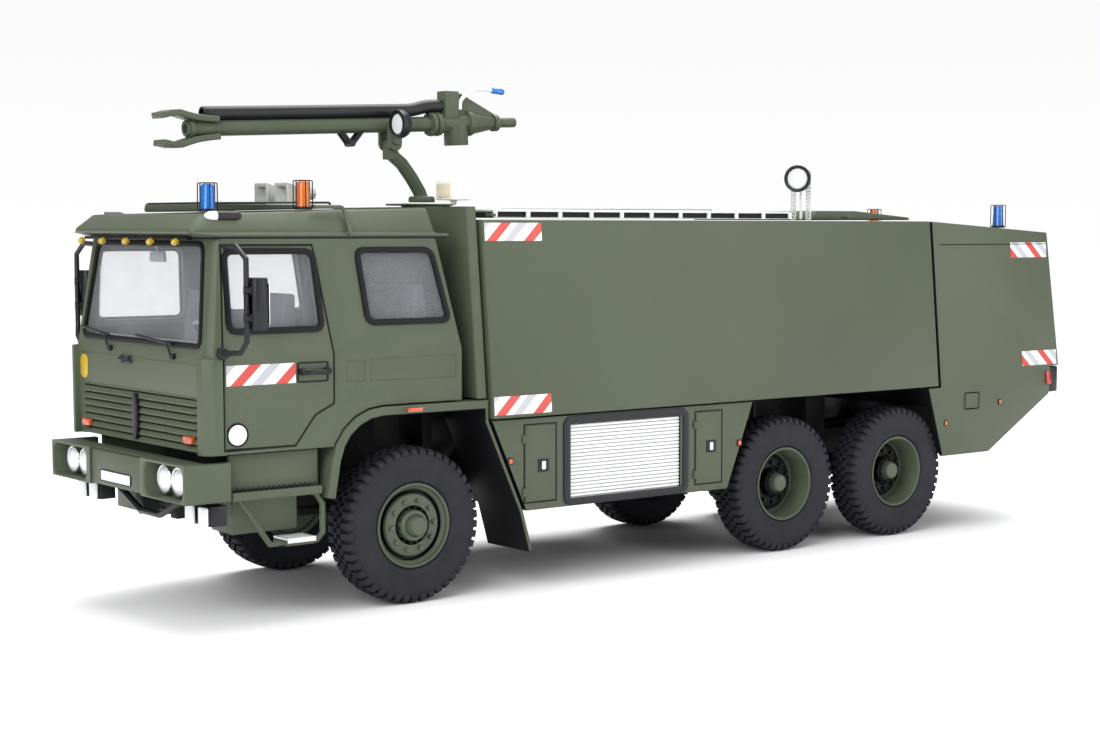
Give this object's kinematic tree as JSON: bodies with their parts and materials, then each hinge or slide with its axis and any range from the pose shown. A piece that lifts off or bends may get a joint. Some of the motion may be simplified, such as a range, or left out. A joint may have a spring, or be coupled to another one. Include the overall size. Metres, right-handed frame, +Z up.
{
  "type": "airport fire truck scale model",
  "caption": "Scale model of a six-wheeled airport foam tender: hollow glazed cab, sloping tank and tail, locker shutters and a roof monitor that swivels and tilts.",
  "frame": {"origin": "on the ground, under the middle of the model's outer box", "axes": "+X forward along the truck, +Y to its left, +Z up"},
  "size_m": [0.2358, 0.072, 0.0993],
  "materials": {
    "olive_paint": "satin",
    "dark_olive_paint": "satin",
    "black_plastic": "satin",
    "tyre_rubber": "matte",
    "cab_trim": "matte",
    "white_enamel": "satin",
    "silver": "satin",
    "lamp_glass": "gloss",
    "clear_glazing": "clear",
    "blue_lens": "gloss",
    "amber_lens": "gloss"
  },
  "bodies": {
    "truck": {"cab_shell": "olive_paint", "cab_roof": "olive_paint", "grille_panel": "olive_paint", "front_bumper": "olive_paint", "bumper_panel": "olive_paint", "front_mudguard_left": "olive_paint", "front_mudguard_right": "olive_paint", "cab_step_left": "olive_paint", "cab_step_right": "olive_paint", "tank_body": "olive_paint", "locker_body": "olive_paint", "tail_body": "olive_paint", "roof_cover": "olive_paint", "monitor_base": "olive_paint", "chassis_frame": "dark_olive_paint", "front_axle": "dark_olive_paint", "rear_bogie": "dark_olive_paint", "bulkhead": "dark_olive_paint", "roof_hatch": "dark_olive_paint", "cab_interior": "cab_trim", "dashboard": "cab_trim", "air_horns": "cab_trim", "windscreen": "clear_glazing", "glazing_left": "clear_glazing", "glazing_right": "clear_glazing", "headlamps_left": "lamp_glass", "headlamps_right": "lamp_glass", "underrun_bar": "black_plastic", "mirror_left": "black_plastic", "mirror_right": "black_plastic", "rear_bumper": "black_plastic", "roof_searchlight": "black_plastic", "shutter_left": "silver", "shutter_right": "silver", "roof_ladder": "silver", "floodlight": "white_enamel", "beacon_front_blue": "blue_lens", "beacon_rear_blue": "blue_lens", "beacon_front_amber": "amber_lens", "beacon_rear_amber": "amber_lens"},
    "front_left_wheel": {"front_left_tyre": "tyre_rubber", "front_left_rim": "olive_paint"},
    "front_right_wheel": {"front_right_tyre": "tyre_rubber", "front_right_rim": "olive_paint"},
    "middle_left_wheel": {"middle_left_tyre": "tyre_rubber", "middle_left_rim": "olive_paint"},
    "middle_right_wheel": {"middle_right_tyre": "tyre_rubber", "middle_right_rim": "olive_paint"},
    "rear_left_wheel": {"rear_left_tyre": "tyre_rubber", "rear_left_rim": "olive_paint"},
    "rear_right_wheel": {"rear_right_tyre": "tyre_rubber", "rear_right_rim": "olive_paint"},
    "monitor_turret": {"monitor_arm": "olive_paint"},
    "monitor_gun": {"monitor_barrel": "olive_paint", "foam_tube": "black_plastic", "monitor_elbow": "olive_paint", "monitor_lever": "white_enamel", "barrel_lamp": "black_plastic"}
  },
  "joints": [
    {"name": "front_left_spin", "type": "hinge", "parent": "truck", "child": "front_left_wheel", "pos_m": [0.07035, 0.0229, 0.0148], "axis": [0, 1, 0], "continuous": true},
    {"name": "front_right_spin", "type": "hinge", "parent": "truck", "child": "front_right_wheel", "pos_m": [0.07035, -0.0229, 0.0148], "axis": [0, 1, 0], "continuous": true},
    {"name": "middle_left_spin", "type": "hinge", "parent": "truck", "child": "middle_left_wheel", "pos_m": [-0.02585, 0.0229, 0.0148], "axis": [0, 1, 0], "continuous": true},
    {"name": "middle_right_spin", "type": "hinge", "parent": "truck", "child": "middle_right_wheel", "pos_m": [-0.02585, -0.0229, 0.0148], "axis": [0, 1, 0], "continuous": true},
    {"name": "rear_left_spin", "type": "hinge", "parent": "truck", "child": "rear_left_wheel", "pos_m": [-0.06145, 0.0229, 0.0148], "axis": [0, 1, 0], "continuous": true},
    {"name": "rear_right_spin", "type": "hinge", "parent": "truck", "child": "rear_right_wheel", "pos_m": [-0.06145, -0.0229, 0.0148], "axis": [0, 1, 0], "continuous": true},
    {"name": "monitor_swivel", "type": "hinge", "parent": "truck", "child": "monitor_turret", "pos_m": [0.05075, 0, 0.076], "axis": [0, 0, 1], "range_deg": [-110, 110]},
    {"name": "monitor_tilt", "type": "hinge", "parent": "monitor_turret", "child": "monitor_gun", "pos_m": [0.05815, 0, 0.0872], "axis": [0, -1, 0], "range_deg": [-3, 15]}
  ]
}
